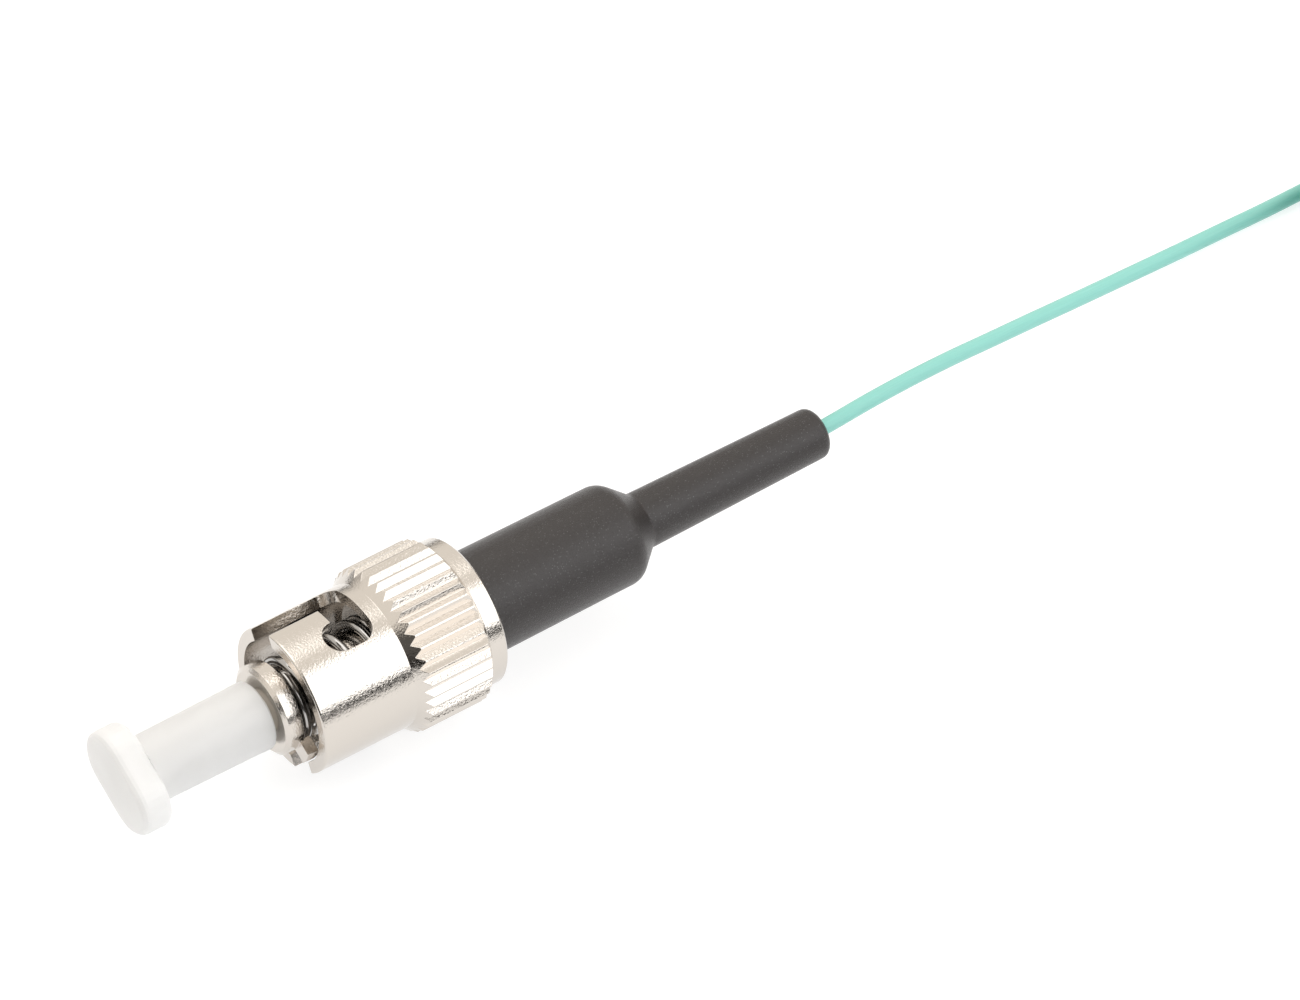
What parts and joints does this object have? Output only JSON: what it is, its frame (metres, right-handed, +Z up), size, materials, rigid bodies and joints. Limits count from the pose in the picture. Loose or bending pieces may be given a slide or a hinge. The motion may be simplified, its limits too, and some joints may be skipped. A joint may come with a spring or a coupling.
{
  "type": "st fibre connector",
  "caption": "Bayonet fibre optic connector with a slotted, knurled nut, a dust cap on its ferrule and a black boot on an aqua buffered pigtail.",
  "frame": {"origin": "under the middle of the connector's length from the dust cap's head to the boot's tip, on the surface that it lies on", "axes": "+X along the connector's axis from the dust cap to the cable, +Z up"},
  "size_m": [0.095, 0.0163, 0.0096],
  "materials": {
    "nickel_plate": "bright nickel plate on turned brass",
    "spring_steel": "drawn and polished",
    "zirconia": "ground and polished",
    "glass_core": "clear",
    "cured_adhesive": "cured resin",
    "cap_plastic": "translucent natural plastic, moulded",
    "boot_rubber": "matte moulded rubber",
    "fibre_buffer": "smooth extruded buffer, satin"
  },
  "bodies": {
    "connector": {"ferrule_body": "nickel_plate", "ferrule": "zirconia", "glass_fibre": "glass_core", "adhesive": "cured_adhesive", "spring": "spring_steel", "retaining_clip": "spring_steel", "rear_stem": "nickel_plate", "boot": "boot_rubber", "fibre_inside": "fibre_buffer", "fibre_run": "fibre_buffer", "fibre_coil": "fibre_buffer"},
    "washer": {"thrust_washer": "spring_steel"},
    "nut": {"coupling_nut": "nickel_plate"},
    "cap": {"dust_cap": "cap_plastic"}
  },
  "joints": [
    {"name": "nut_travel", "type": "slide", "parent": "connector", "child": "washer", "axis": [-1, 0, 0], "range_m": [0, 0.002], "stiffness_N_per_m": 1500, "deforming": ["spring"]},
    {"name": "nut_turn", "type": "hinge", "parent": "washer", "child": "nut", "pos_m": [0, 0, 0.00479], "axis": [1, 0, 0], "continuous": true},
    {"name": "cap_pull", "type": "slide", "parent": "connector", "child": "cap", "axis": [-1, 0, 0], "range_m": [0, 0.0125]}
  ]
}
